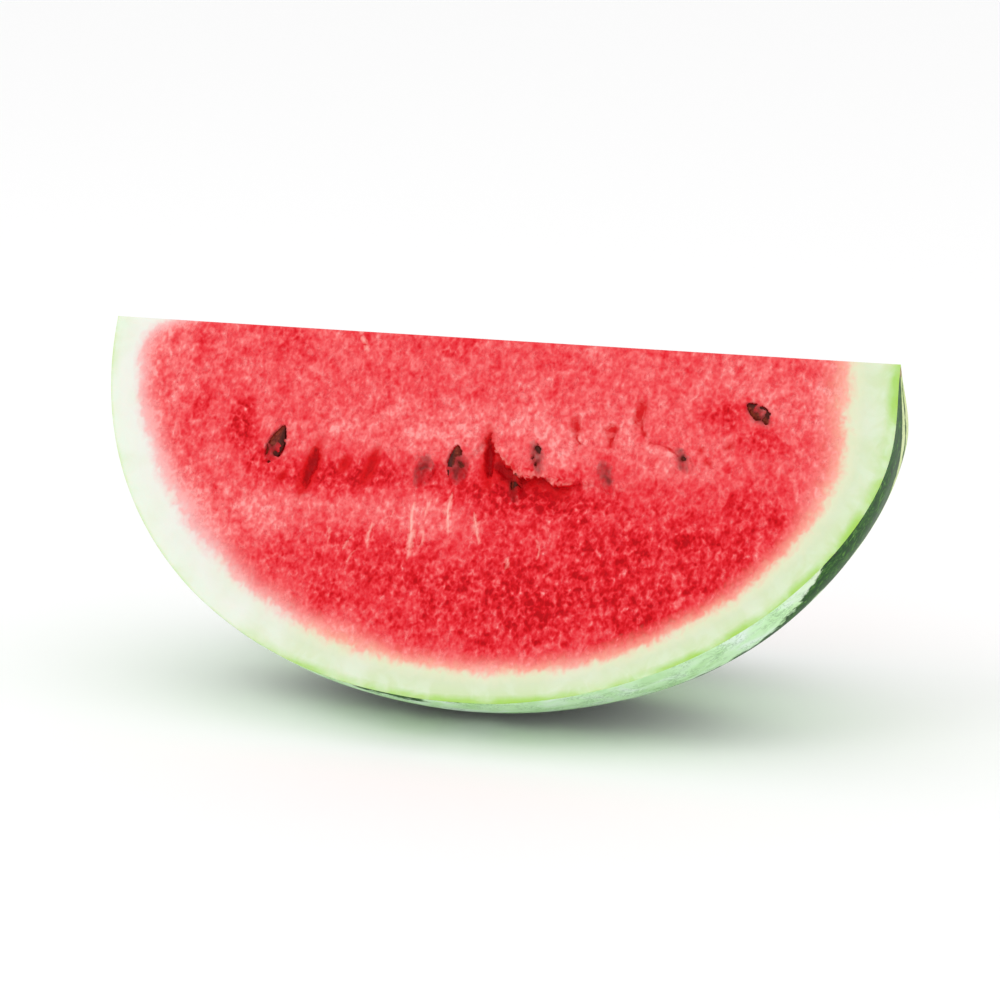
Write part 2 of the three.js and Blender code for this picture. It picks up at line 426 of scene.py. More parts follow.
def distance_to(path, along, down):
    """How far a place is from the nearest point of a path of straight lines."""
    nearest = math.inf
    for (a0, d0), (a1, d1) in zip(path, path[1:]):
        length_squared = (a1 - a0) ** 2 + (d1 - d0) ** 2
        share = ((along - a0) * (a1 - a0) + (down - d0) * (d1 - d0)) / length_squared
        share = min(max(share, 0), 1)
        away = math.hypot(along - a0 - share * (a1 - a0), down - d0 - share * (d1 - d0))
        nearest = min(nearest, away)
    return nearest


def in_oval(oval, along, down):
    """0 at the middle of an oval and 1 on its edge."""
    centre_along, centre_down, lean, half_length, half_width = oval[:5]
    lean = math.radians(lean)
    right, up = along - centre_along, centre_down - down
    length = right * math.sin(lean) + up * math.cos(lean)
    width = right * math.cos(lean) - up * math.sin(lean)
    return math.hypot(length / half_length, width / half_width)


print("seam below the ridge's middle", [round(v, 1) for v in follow(SEAM["front"], 0)])

# %% [markdown]
# ## A spot on a cut face
#
# `Spot` gathers what the marks do to one point: how far it moves into the flesh and down the face, and
# how it looks: the clear red of juice in sunk places, darkened as painted shade in the deepest ones;
# pale, for fibres and torn lips; the brown of a seed where the flesh over it is so thin that the seed
# shows through, with painted shade round the seed's edge; and the dryness that makes the flesh pink or
# red, which also holds painted light and shade in some patches.
# The first thing that moves a spot is drying: the flesh swells and sinks a little all over.

# %% A spot, and how drying flesh moves it
class Spot:
    def __init__(self, side, along, down):
        self.side, self.along, self.down = side, along, down
        self.key = 1 if side == "front" else 2  # each face has noise of its own
        self.inward, self.drop = 0.0, 0.0
        self.sunk, self.pale, self.seed_tint_and_shade = 0.0, 0.0, 0.0
        self.dryness_and_light = DRYNESS

    def grain(self, size, key):
        return grain(self.along, self.down, size, self.key + key)


def let_flesh_dry_with_light_and_shade(spot):
    spot.inward += 0.32 * spot.grain(22, 0) + 0.18 * spot.grain(7, 2)
    spot.inward += 0.09 * grain(spot.along, spot.down * 0.7, 2.2, spot.key + 4)
    # The patches add dryness, with painted light high on the face and painted shade just under the seam.
    for along, down, half_length, half_height, amount in DRYNESS_AND_LIGHT_PATCHES[spot.side]:
        away = math.hypot((spot.along - along) / half_length, (spot.down - down) / half_height)
        spot.dryness_and_light += amount * math.exp(-(away**3) * 0.8)


spot = Spot("front", 0, 50)
let_flesh_dry_with_light_and_shade(spot)
print("dryness below the seam", round(spot.dryness_and_light, 2))

# %% [markdown]
# ## Opening the seam
#
# Above the seam the torn lip lifts and hangs over, and it is pale, because torn cells hold air. Below
# it the surface steps down into the hollow and rises slowly again. Two exponential curves fade a deep
# red out below the lip: a quick one for the painted shadow under the lip and a slow one for the juice.

# %% The seam's line with its scallops, and its hollow
HOLLOW_REACH = 14  # how far down the face the hollow runs out
DEEP = (1.2, 2.4)  # only a hollow as deep as this has an overhanging lip
LIP_DROP, LIP_LIFT = 0.8, 0.25


def seam_at(side, along):
    """The seam's place down the face, with the scallops of its torn edge, its hollow and its step."""
    found = follow(SEAM[side], along)
    if not found:
        return None
    down, depth, step = found
    key = 11 if side == "front" else 12
    down += 1.1 * grain(along, 0, 3.4, key) + 0.4 * grain(along, 0, 1.2, key + 1)
    return down, depth, step


def open_seam(spot):
    seam = seam_at(spot.side, spot.along)
    if not seam:
        return
    seam_down, depth, step = seam
    below = spot.down - seam_down + 0.8 * spot.grain(2.1, 6)
    hollow = (1 - smooth(below, 1, HOLLOW_REACH)) * smooth(below, -0.2 * step, 0.8 * step)
    spot.inward += depth * hollow
    sharp = smooth(depth, *DEEP)
    if below > 0:
        # A painted shadow under the lip, fading into the juice's own red further down.
        wet = sharp * (0.7 * math.exp(-below / 2.4) + 0.2 * math.exp(-below / 6))
        spot.sunk = max(spot.sunk, wet)
        spot.drop += LIP_DROP * sharp * max(0, 1 - below / 0.6)
    else:
        spot.inward -= LIP_LIFT * sharp * math.exp(below / 2.4)
        spot.drop += LIP_DROP * sharp * math.exp(below / 1.5)
        torn = (0.18 + 0.2 * sharp) * min(1, depth) * math.exp(below / 3.0)
        spot.pale = max(spot.pale, torn)


spot = Spot("front", 20, 43)
open_seam(spot)
print("just below the lip the surface is", round(spot.inward, 1), "mm deep")

# %% [markdown]
# ## Sinking the sockets and the cracks
#
# A socket is a bowl with a flat bottom and a rim that noise makes ragged; its juice spreads a little
# past the rim, and the deeper the bowl, the darker its red, as painted shade. A crack is a narrow
# groove, and its path sways with a noise of its own.

# %% Sockets and cracks
WET_RIM = 1.8  # as far as this from a socket's middle the flesh is wet, with 1 on its edge


def sink_sockets(spot):
    for socket in SOCKETS[spot.side]:
        depth = socket[5]
        edge = in_oval(socket, spot.along, spot.down) + 0.28 * spot.grain(1.9, 8)
        edge += 0.18 * spot.grain(0.7, 9)
        if edge < 1:
            bowl = 1 - max(edge, 0) ** 3
            spot.inward = max(spot.inward, depth * bowl)
            # Deeper bowls are painted a darker red: painted shade on top of the juice's own red.
            spot.sunk = max(spot.sunk, (0.45 + 0.55 * bowl) * min(1, 0.42 + 0.28 * depth))
            spot.pale = 0
        elif edge < WET_RIM:
            spot.sunk = max(spot.sunk, 0.45 * (WET_RIM - edge) / (WET_RIM - 1))


def open_cracks(spot):
    for wide, path in CRACKS[spot.side]:
        width = wide * (1 + 1.1 * spot.grain(1.5, 10))
        sway = 0.9 * spot.grain(3.1, 11)
        near = distance_to(path, spot.along + sway, spot.down + 0.6 * sway)
        if near < width:
            spot.inward += wide * (1 - (near / width) ** 2)
        redness = min(0.55, wide + 0.1) * (0.85 + 0.7 * spot.grain(1.2, 13))
        spot.sunk = max(spot.sunk, redness * (1 - smooth(near, 0.3 * width, 1.9 * width)))


spot = Spot("front", 3.7, 34.8)
sink_sockets(spot)
print("the middle socket is", round(spot.inward, 1), "mm deep")

# %% [markdown]
# ## Looking through to a seed
#
# To run over a seed or behind it, the surface must know where the seed is. A ray could be cast at the
# seed's mesh, but the seeds aren't made yet. So a line is stepped straight into the flesh through the
# formula of the seed's shape, with a small gap round it for the pocket.

# %% Where a line into the flesh meets a seed's pocket
POCKET_GAP = 0.25
# Round a seed's edge, out to about this far, the brown tint is painted shade.
HALO = 0.6  # how far around a seed it can still tint the flesh
PROBE_START, PROBE_END, PROBE_STEP = -1.6, 7, 0.12


def through_seed(seed, along, down):
    """Where a line straight into the flesh meets a seed's pocket, or None if it passes far from it.

    It gives how close the line comes to the middle, with 1 just outside the seed, how deep that is,
    where the line enters and leaves the pocket if it does, and how far along the seed it is then."""
    start = Vector((along, 0, -down)) - seed["centre"]
    half = seed["half"]
    if math.hypot(start.x, start.z) > half.z + 1.5:
        return None
    to_seed = seed["axes"].transposed()
    nearest, depth, enters, leaves, place = math.inf, 0, None, None, 0
    probe = PROBE_START
    while probe < PROBE_END:
        thin, wide, long = to_seed @ (start + Vector((0, probe, 0)))
        away = Vector((thin / (half.x + HALO), wide / (half.y + HALO), long / (half.z + HALO))).length
        if away < nearest:
            nearest, depth = away, probe
        share = (long / (half.z + POCKET_GAP) + 1) / 2
        swell = seed_swell(share)
        if swell > 0:
            across = math.hypot(
                thin / (half.x * swell + POCKET_GAP), wide / (half.y * swell + POCKET_GAP)
            )
            if across < 1:
                if enters is None:
                    enters, place = probe, share
                leaves = probe
        probe += PROBE_STEP
    return nearest, depth, enters, leaves, place


first = seeds["front"][0]
crossing = through_seed(first, first["centre"].x, -first["centre"].z)
print("through the first seed from", round(crossing[2], 1), "to", round(crossing[3], 1), "mm deep")

# %% [markdown]
# ## Films and fibres
#
# Where noise is stronger than the film, the film is torn, and the surface jumps behind the seed, into
# a pit painted deep red as painted shade. Where the film holds, the surface is kept just outside the
# seed, and the seed stains it brown, more so the thinner it is; round the seed's edge the brown is
# painted shade. A fibre rises a little and fades out towards both its ends, with a pale haze round it.

# %% Films over the seeds, and the fibres
FILM_THICKNESS = 0.12
BARE_DEPTH = 0.45  # a seed that lies deeper than this below the surface is never bared
STAIN_FADES = 0.7  # the thickness of flesh that lets about a third of the stain through


def cover_seeds(spot):
    for seed, (at_round_end, at_point) in zip(seeds[spot.side], FILM[spot.side]):
        crossing = through_seed(seed, spot.along, spot.down)
        if not crossing:
            continue
        nearest, seed_depth, enters, leaves, share = crossing
        # The film holds best at the seed's right and low edges.
        aside = (spot.along - seed["centre"].x + spot.down + seed["centre"].z) / seed["half"].z
        film = at_round_end + (at_point - at_round_end) * share + 0.45 * aside
        tatter = 0.5 + spot.grain(1.7, 14) + 0.15 * spot.grain(0.8, 15)
        if enters is not None and tatter > film and enters < spot.inward + BARE_DEPTH:
            spot.inward = max(spot.inward, leaves + 0.1)
            # The pit behind a torn film is painted deep red: painted shade.
            spot.sunk = max(spot.sunk, 0.8)
            continue
        cover = smooth(film - tatter, 0.1, 0.8)
        if enters is not None:
            seed_depth = enters
            spot.inward = min(spot.inward, enters - FILM_THICKNESS - 0.15 * cover)
        shows = math.exp(-max(seed_depth - FILM_THICKNESS - spot.inward, 0) / STAIN_FADES)
        # Near the seed's edge the brown is painted shade, fading out past the edge.
        veil = (1 - 0.2 * cover) * (1 - smooth(nearest, 0.4, 1.15))
        spot.seed_tint_and_shade = max(spot.seed_tint_and_shade, shows * veil)


def raise_fibres(spot):
    for strength, path in FIBRES[spot.side]:
        near = distance_to(path, spot.along, spot.down) + 0.12 * spot.grain(2.4, 12)
        top, bottom = path[0][1], path[-1][1]
        way = (spot.down - top) / (bottom - top)
        strength *= smooth(way, -0.05, 0.3) * (1 - smooth(way, 0.55, 1.05))
        if near < 0.5:
            spot.inward -= 0.12 * strength * (1 - smooth(near, 0.1, 0.5))
        core, haze = 0.62 * math.exp(-((near / 0.3) ** 2)), 0.36 * math.exp(-near / 1.2)
        spot.pale = max(spot.pale, strength * (core + haze))


def relief(side, along, down):
    """The spot at a place on a cut face, after every mark has worked on it."""
    spot = Spot(side, along, down)
    marks = (let_flesh_dry_with_light_and_shade, open_seam, sink_sockets, open_cracks, cover_seeds, raise_fibres)
    for mark in marks:
        mark(spot)
    return spot


over_seed = relief("front", first["centre"].x, -first["centre"].z)
print("at the first seed the surface is", round(over_seed.inward, 1), "mm deep")

# %% [markdown]
# ## Where the mesh must be finer
#
# A mesh fine enough for a crack would have millions of faces if it were as fine all over, and the
# plain flesh doesn't need them. So the mesh starts coarse, with faces of about a millimetre, and is
# halved once around the seam and again at each mark.

# %% How fine the mesh is at a place
PLAIN_ABOVE, PLAIN_BELOW = 8, 72  # there are no deep marks higher or lower on a face than this
SEED_REACH = 4.5  # a place further than this to the side of a seed isn't at its mark
DEEP_SEAM = 0.9  # only along a seam as deep as this is the mesh halved twice
NEAR_SEAM, AROUND_SEAM = (-1.6, 2.2), (-7, 13)  # from above its line to below it


def at_a_mark(side, along, down):
    if any(in_oval(socket, along, down) < 1.25 for socket in SOCKETS[side]):
        return True
    for seed in seeds[side]:
        start = Vector((along, 0, -down)) - seed["centre"]
        aside = (seed["axes"].transposed() @ start).y
        if math.hypot(start.x, start.z) < seed["half"].z + HALO and abs(aside) < SEED_REACH:
            return True
    if any(distance_to(path, along, down) < 1.2 * wide + 0.3 for wide, path in CRACKS[side]):
        return True
    return any(distance_to(path, along, down) < 0.7 for _, path in FIBRES[side])


def fineness(side, along, down):
    """How many times the mesh is halved at a place: 0, 1 or 2."""
    if down < PLAIN_ABOVE or down > PLAIN_BELOW:
        return 0
    if at_a_mark(side, along, down):
        return 2
    seam = seam_at(side, along)
    if not seam:
        return 0
    below = down - seam[0]
    if seam[1] > DEEP_SEAM and NEAR_SEAM[0] < below < NEAR_SEAM[1]:
        return 2
    return 1 if AROUND_SEAM[0] < below < AROUND_SEAM[1] else 0


at_socket, below_it = fineness("front", 3.7, 34.8), fineness("front", 3.7, 42)
print("halved", at_socket, "times at a socket, and", below_it, "below it")

# %% [markdown]
# ## The mesh of a cut face
#
# A grid is shaped to the half outline: its first row is the ridge, and its last row is the rim of the
# skin. The outline could be filled with one large polygon instead, but only a grid gives even faces to
# press the relief into. The rows crowd together at both edges, where the edge will be rounded.

# %% A flat cut face
COLUMNS = 250
ROWS = 78
EDGE_ROWS = (0, 0.0026, 0.0065, 0.013)  # shares of the way down, crowding at the ridge


def row_share(row):
    """How far down the face a row lies, from 0 at the ridge to 1 at the rim."""
    last = len(EDGE_ROWS) - 1
    if row <= last:
        return EDGE_ROWS[row]
    if row >= ROWS - last:
        return 1 - EDGE_ROWS[ROWS - row]
    middle_share = (row - last) / (ROWS - 2 * last)
    return EDGE_ROWS[last] + middle_share * (1 - 2 * EDGE_ROWS[last])


def ridge_point(share):
    """The ridge runs straight between the two ends of the outline."""
    start, end = outline(0)[0], outline(1)[0]
    return start + (end - start) * (1 - math.cos(math.pi * share)) / 2


def make_finer(bm, side, level):
    wanted = []
    for edge in bm.edges:
        middle = (edge.verts[0].co + edge.verts[1].co) / 2
        if fineness(side, middle.x, -middle.z) >= level:
            wanted.append(edge)
    bmesh.ops.subdivide_edges(bm, edges=wanted, cuts=1, use_grid_fill=True)


def cut_face_mesh(side):
    """The flat mesh of a cut face in its own frame, in millimetres."""
    bm = bmesh.new()
    bmesh.ops.create_grid(bm, x_segments=COLUMNS, y_segments=ROWS, size=0.5)
    facing = 1 if side == "front" else -1
    for vert in bm.verts:
        column = round((vert.co.x + 0.5) * COLUMNS) / COLUMNS
        row = row_share(round((vert.co.y + 0.5) * ROWS))
        rim_along, rim_down = outline(column)
        along = ridge_point(column) * (1 - row) + rim_along * row
        vert.co = (facing * along, 0, -rim_down * row)
    make_finer(bm, side, 1)
    make_finer(bm, side, 2)
    return bm


faces = {side: cut_face_mesh(side) for side in ("front", "back")}
print("faces of the flat meshes", [len(bm.faces) for bm in faces.values()])

# %% [markdown]
# ## Pressing the relief into the faces
#
# Every vertex is moved as `relief` says, less and less towards the ridge and the rim, so that the two
# faces and the skin still meet. A displacement texture could do that, but then the finish wouldn't
# know where the marks are. Here the looks are kept on the vertices as attributes, for the finish to
# read, along with how far a place is through the rind.

# %% The rind's thickness and its greenest places
RIND = (
    # how thick the rind is, at the degrees down from the blossom end round to the stem end
    (-0.1, 14), (5, 14.2), (11, 13.6), (19, 11.5), (29, 10), (41, 9), (69, 8.3), (90, 9),
    (110, 10.5), (126, 11.5), (138, 12), (150, 11.5), (159, 10.5), (168, 9), (175, 9), (177.3, 10.5),
    (178.8, 13.5), (180.1, 18),
)


def rind_thickness(along, down):
    return follow(RIND, math.degrees(math.atan2(abs(down), along)))[0]


def greenness(side, along, down):
    """1 in the middle of a fresh green patch of rind, and 0 away from them all."""
    return max(
        1 - smooth(math.hypot((along - a) / long, (down - d) / high), 0.4, 1.4)
        for a, d, long, high in LIME[side]
    )


print("the rind is", round(rind_thickness(0, RADIUS), 1), "mm thick at the bottom")

# %% Move every vertex and keep its looks
LOOKS = ("rind", "sunk", "pale", "seed_tint_and_shade", "dryness_and_light", "lime", "stripe", "scar")
FAR_FROM_A_STRIPE = 9.0
CRISP_EDGE = 3  # how far from the ridge and from the rim the relief has its full depth


def add_relief(bm, side):
    layer = {name: bm.verts.layers.float.new(name) for name in LOOKS}
    for vert in bm.verts:
        along, down = vert.co.x, -vert.co.z
        fruit_along = along if side == "front" else -along
        depth = depth_below_skin(fruit_along, down)
        spot = relief(side, along, down)
        fade = smooth(down, 0, CRISP_EDGE) * smooth(depth, 0, CRISP_EDGE)
        vert.co += Vector((0, spot.inward * fade, -spot.drop * fade))
        vert[layer["rind"]] = max(depth, 0) / rind_thickness(fruit_along, down)
        vert[layer["lime"]] = greenness(side, along, down)
        vert[layer["stripe"]] = FAR_FROM_A_STRIPE
        for name in ("sunk", "pale", "seed_tint_and_shade", "dryness_and_light"):
            vert[layer[name]] = getattr(spot, name)


for side, bm in faces.items():
    add_relief(bm, side)
    bmesh.ops.transform(bm, matrix=face_frame[side], verts=bm.verts)
    print(side, "face has", len(bm.faces), "faces")

# %% [markdown]
# ## The skin
#
# The skin is the part of the fruit's surface between the two cuts. It could be cut from a whole melon,
# but then its edge wouldn't fit the faces' vertices. So the rim of the front face is spun about the
# melon's axis, through the angle of the wedge, to the rim of the back face. The first and last steps
# are small, for a crisp edge that can still be rounded.

# %% Spin the rim
EDGE_STEPS = [0.25, 0.45]  # degrees
BROAD_STEPS = 34
broad_step = (WEDGE_DEGREES - 2 * sum(EDGE_STEPS)) / BROAD_STEPS
spin_steps = EDGE_STEPS + [broad_step] * BROAD_STEPS + EDGE_STEPS[::-1]
bm = faces["front"]
cut_faces = set(bm.faces)
rim = [
    edge for edge in bm.edges
    if edge.is_boundary and min(v.co.z for v in edge.verts) < RIDGE_HEIGHT - 1e-4
]
swept = list({v for edge in rim for v in edge.verts}) + rim
for step in spin_steps:
    result = bmesh.ops.spin(
        bm, geom=swept, cent=(0, 0, RIDGE_HEIGHT), axis=(1, 0, 0), dvec=(0, 0, 0),
        angle=math.radians(step), steps=1, use_merge=False, use_duplicate=False,
    )
    swept = result["geom_last"]
FLESH_SLOT, SKIN_SLOT = 0, 1
for face in bm.faces:
    face.material_index = FLESH_SLOT if face in cut_faces else SKIN_SLOT
print("the skin turns through", round(sum(spin_steps), 2), "degrees")

# %% [markdown]
# ## Joining the back face
#
# The back face meets the skin's last rim and the ridge, vertex for vertex. A boolean join would cut up
# both meshes. Merging the doubled vertices leaves them as they are, and the count of open edges shows
# that the wedge is closed.

# %% Merge the doubles and count the open edges
MERGE_DISTANCE = 0.004  # of vertices that should be one, in millimetres
back_part = bpy.data.meshes.new("back_part")
faces["back"].to_mesh(back_part)
bm.from_mesh(back_part)
faces["back"].free()
bpy.data.meshes.remove(back_part)
bmesh.ops.remove_doubles(bm, verts=bm.verts, dist=MERGE_DISTANCE)
bmesh.ops.dissolve_degenerate(bm, edges=bm.edges, dist=MERGE_DISTANCE / 2)
bmesh.ops.recalc_face_normals(bm, faces=bm.faces)
open_edges = [edge for edge in bm.edges if not edge.is_manifold]
print("faces", len(bm.faces), "open edges", len(open_edges))

# %% [markdown]
# ## Softer edges
#
# A knife leaves a crisp edge, but never a perfect one. A bevel would add a strip of even width, which
# looks machined. Two passes of smoothing along the rims and the ridge round them by a fraction of a
# millimetre, and not quite evenly.

# %% Round the rims and the ridge
SMOOTHING_PASSES = 2
for face in bm.faces:
    face.smooth = True
skin_verts = {v for face in bm.faces if face.material_index == SKIN_SLOT for v in face.verts}
rim_verts = {v for v in skin_verts if any(f.material_index == FLESH_SLOT for f in v.link_faces)}
ridge_verts = {v for v in bm.verts if math.hypot(v.co.y, v.co.z - RIDGE_HEIGHT) < 0.02}
for _ in range(SMOOTHING_PASSES):
    bmesh.ops.smooth_vert(
        bm, verts=list(rim_verts | ridge_verts), factor=0.5,
        use_axis_x=True, use_axis_y=True, use_axis_z=True,
    )
print("skin vertices", len(skin_verts), "rim", len(rim_verts), "ridge", len(ridge_verts))

# %% [markdown]
# ## The lines of the stripes
#
# The dark stripes run from pole to pole, and wander and swell on the way. A wave texture would make
# them all alike. Each one is a line of its own instead: its middle and half its width, in degrees of
# turn from the front rim, at places along the fruit. Where half the width is below zero the stripe is
# gone, or only as much of it is left as the feathered edge brings back, which makes a row of dashes.

# %% The stripes
STRIPES = (
    # a stripe that runs along the front rim, mostly just outside the wedge
    [
        (-118, -8, 4), (-40, -8, 4), (-27, -6, 4), (-18, -1.6, 4), (-9, -1.6, 4), (2, -6, 4),
        (118, -9, 4),
    ],
    # the broad stripe, which comes round to the front at the blossom end
    [
        (-118, 22, 2), (-100, 24, 4), (-60, 25, 8), (0, 25, 10), (60, 24, 9.5), (80, 19.5, 6),
        (92, 14, 3.5), (98, 10, 6), (104, 11, 12), (109, 13, 17), (114, 14, 20), (118, 14, 20),
    ],
    # the stripe near the back rim
    [
        (-118, 50, 2), (-100, 52, 4), (-50, 54, 6.5), (20, 55, 7), (80, 53, 5.5), (110, 50, 3),
        (118, 48, 2),
    ],
    # a row of dashes near the front rim
    [
        (-118, 4, -9), (20, 4, -9), (42, 5, -2.6), (62, 5, -1.6), (82, 4, -2), (90, 4, -9),
        (118, 4, -9),
    ],
)
STRIPE_END = 117.9  # just inside the ends of all the lines


def from_stripe(along, turn):
    """How many degrees a place on the skin is from the nearest stripe, below 0 inside one."""
    lines = [follow(line, along) for line in STRIPES]
    return min(abs(turn - middle) - half for middle, half in lines)


print("the middle of the skin's bottom is", round(from_stripe(0, 30), 1), "degrees from a stripe")

# %% [markdown]
# ## A grown skin and a flat foot
#
# A rind that grew has faint swellings, and this one bulges a little below its right end. They could be
# bump in the finish, but then the outline would stay too perfect, so the vertices move. Where the
# wedge stands, its weight flattens the rind to the table: nothing may reach below it.

# %% Swell the skin, and keep the looks of its stripes and scars
SCAR_RADIUS = 4
BULGE, BULGE_TURN, BULGE_ALONG = 1.6, (13, 9), (85, 38)  # its height; its middle and its reach
SINK = 0.15  # the skin starts this much lower, so that it swells to the size of the solid


def swelling(along, turn):
    height = 0.35 * noise.noise(Vector((along / 45, turn / 22, 3)))
    height += 0.10 * noise.noise(Vector((along / 12, turn / 7, 9)))
    across = ((turn - BULGE_TURN[0]) / BULGE_TURN[1]) ** 2
    return height + BULGE * math.exp(-across - ((along - BULGE_ALONG[0]) / BULGE_ALONG[1]) ** 2)


layer = {name: bm.verts.layers.float[name] for name in LOOKS}
for vert in bm.verts:
    if vert not in skin_verts:
        continue
    turn = math.degrees(math.atan2(vert.co.y, RIDGE_HEIGHT - vert.co.z)) + WEDGE_DEGREES / 2
    along = min(max(vert.co.x, -STRIPE_END), STRIPE_END)
    outwards = Vector((0, vert.co.y, vert.co.z - RIDGE_HEIGHT))
    radius = outwards.length
    vert[layer["stripe"]] = from_stripe(along, turn)
    vert[layer["scar"]] = math.exp(-((radius / SCAR_RADIUS) ** 2))
    vert[layer["rind"]] = 0
    if radius > 1:
        vert.co += outwards / radius * (swelling(along, turn) - SINK) * smooth(radius, 5, 30)
    vert.co.z = max(vert.co.z, 0)
print("vertices on the table", sum(v.co.z == 0 for v in bm.verts))

# %% Make the wedge an object, in metres
bmesh.ops.transform(bm, matrix=Matrix.Scale(MM, 4), verts=bm.verts)
bmesh.ops.recalc_face_normals(bm, faces=bm.faces)
wedge_mesh = bpy.data.meshes.new("wedge_of_melon")
bm.to_mesh(wedge_mesh)
bm.free()
wedge = bpy.data.objects.new("wedge_of_melon", wedge_mesh)
bpy.context.scene.collection.objects.link(wedge)
wedge_mesh.calc_loop_triangles()
print("wedge", len(wedge_mesh.loop_triangles), "triangles")

# %% [markdown]
# ## The seeds
#
# A melon seed is a flat drop: a rounded end, a blunt point with two small shoulders, and a rim that is
# a little thicker than its cheeks. It could be lathed and flattened, but the shoulders aren't round.
# So a ball is pulled into the shape, ring by ring, by the same swell that the film followed.

# %% Shape a seed and lay it in its pocket
POLE = 0.0004  # how near to its two ends the swell is still read
CHEEK_HOLLOW = 0.16
SHOULDER, SHOULDER_AT, SHOULDER_REACH = 0.10, 0.9, 0.045


def seed_mesh(seed, key):
    bm = bmesh.new()
    bmesh.ops.create_uvsphere(bm, u_segments=40, v_segments=28, radius=1)
    half = seed["half"]
    tone = bm.verts.layers.float.new("tone")
    for vert in bm.verts:
        z = min(max(vert.co.z, -1), 1)
        ring = math.hypot(vert.co.x, vert.co.y)
        at_pole = ring <= 1e-5
        share = (z + 1) / 2
        swell = 0 if at_pole else seed_swell(min(max(share, POLE), 1 - POLE))
        x, y = (0, 0) if at_pole else (vert.co.x / ring, vert.co.y / ring)
        cheek = 1 - CHEEK_HOLLOW * (1 - abs(y)) ** 2
        near_shoulder = math.exp(-(((share - SHOULDER_AT) / SHOULDER_REACH) ** 2))
        shoulder = 1 + SHOULDER * near_shoulder * abs(y)
        bump = 1 + 0.03 * grain(3 * z + key, 3 * y, 1.2, key) + 0.02 * grain(8 * z, 8 * x, 1.1, key + 5)
        waver = 1 + 0.02 * grain(5 * z, key, 1.3, 4)
        vert.co = Vector(
            (half.x * swell * x * cheek * bump, half.y * swell * y * shoulder * waver, half.z * z)
        )
        vert[tone] = abs(y) * min(1, ring * 1.2)  # 1 along the rim and 0 on the cheeks
    to_face = Matrix.Translation(seed["centre"]) @ seed["axes"].to_4x4()
    to_part = Matrix.Scale(MM, 4) @ face_frame[seed["side"]] @ to_face
    bmesh.ops.transform(bm, matrix=to_part, verts=bm.verts)
    bmesh.ops.recalc_face_normals(bm, faces=bm.faces)
    for face in bm.faces:
        face.smooth = True
    mesh = bpy.data.meshes.new(seed["name"] + "_coat")
    bm.to_mesh(mesh)
    bm.free()
    return mesh


seed_objects = []
for side in ("front", "back"):
    for i, seed in enumerate(seeds[side]):
        obj = bpy.data.objects.new(seed["name"] + "_coat", seed_mesh(seed, i + 1))
        bpy.context.scene.collection.objects.link(obj)
        seed_objects.append((obj, seed))
print("seeds", len(seed_objects), "with", len(seed_objects[0][0].data.polygons), "faces each")

# %% [markdown]
# ## Helpers for the finishes
#
# Every finish is a tree of shader nodes. Colours are written as they look on a screen, from 0 to 255,
# and turned into the light values that the shader works in. `Nodes` adds a node and feeds its inputs
# in one call, so that a finish reads as a short recipe and not as a hundred links.

# %% Colours and nodes
def colour(red, green, blue):
    def linear(c):
        c /= 255
        return c / 12.92 if c <= 0.04045 else ((c + 0.055) / 1.055) ** 2.4

    return (linear(red), linear(green), linear(blue), 1)


class Nodes:
    def __init__(self, name):
        self.material = bpy.data.materials.new(name)
        self.material.use_nodes = True
        self.tree = self.material.node_tree
        self.surface = self.tree.nodes["Principled BSDF"]
        self.place = self.add("ShaderNodeTexCoord").outputs["Object"]

    def feed(self, socket, value):
        """Another node's output is linked to the socket; a plain value is set on it."""
        if isinstance(value, bpy.types.NodeSocket):
            self.tree.links.new(value, socket)
        else:
            socket.default_value = value

    def add(self, kind, inputs=(), **settings):
        node = self.tree.nodes.new(kind)
        for key, value in settings.items():
            setattr(node, key, value)
        for key, value in dict(inputs).items():
            self.feed(node.inputs[key], value)
        return node

    def give(self, name, value):
        """Feed one of the surface's own inputs."""
        self.feed(self.surface.inputs[name], value)

    def look(self, name):
        """One of the looks that were kept on the vertices."""
        return self.add("ShaderNodeAttribute", attribute_name=name).outputs["Fac"]

    def math(self, operation, first, second=0.0, third=0.0, clamp=False):
        node = self.add("ShaderNodeMath", operation=operation, use_clamp=clamp)
        for socket, value in zip(node.inputs, (first, second, third)):
            self.feed(socket, value)
        return node.outputs[0]

    def centred(self, value, amount):
        """A value from 0 to 1, moved so that it runs around zero, and made stronger or weaker."""
        return self.math("MULTIPLY", self.math("SUBTRACT", value, 0.5), amount)

    def stretched(self, scale):
        return self.add("ShaderNodeMapping", {"Vector": self.place, "Scale": scale}).outputs[0]

    def noise(self, size, detail=2.0, roughness=0.5, distortion=0.0, vector=None):
        """Noise with bumps of about that size in millimetres, from 0 to 1."""
        inputs = {
            "Vector": vector or self.place,
            "Scale": 1 / (size * MM),
            "Detail": detail,
            "Roughness": roughness,
            "Distortion": distortion,
        }
        return self.add("ShaderNodeTexNoise", inputs).outputs["Fac"]

    def ramp(self, value, *stops):
        """A colour for a value: each stop is its place and its colour, or a number for a grey."""
        node = self.add("ShaderNodeValToRGB", {"Fac": value})
        points = node.color_ramp.elements
        while len(points) < len(stops):
            points.new(1.0)
        for point, (place, shade) in zip(points, stops):
            point.position = place
            point.color = shade if isinstance(shade, tuple) else (shade, shade, shade, 1)
        return node.outputs["Color"]

    def mix(self, share, first, second):
        node = self.add("ShaderNodeMix", data_type="RGBA", blend_type="MIX")
        colours = (node.inputs["Factor"], node.inputs[6], node.inputs[7])
        for socket, value in zip(colours, (share, first, second)):
            self.feed(socket, value)
        return node.outputs[2]

    def bump(self, height, strength, depth):
        inputs = {"Height": height, "Strength": strength, "Distance": depth * MM}
        return self.add("ShaderNodeBump", inputs).outputs["Normal"]


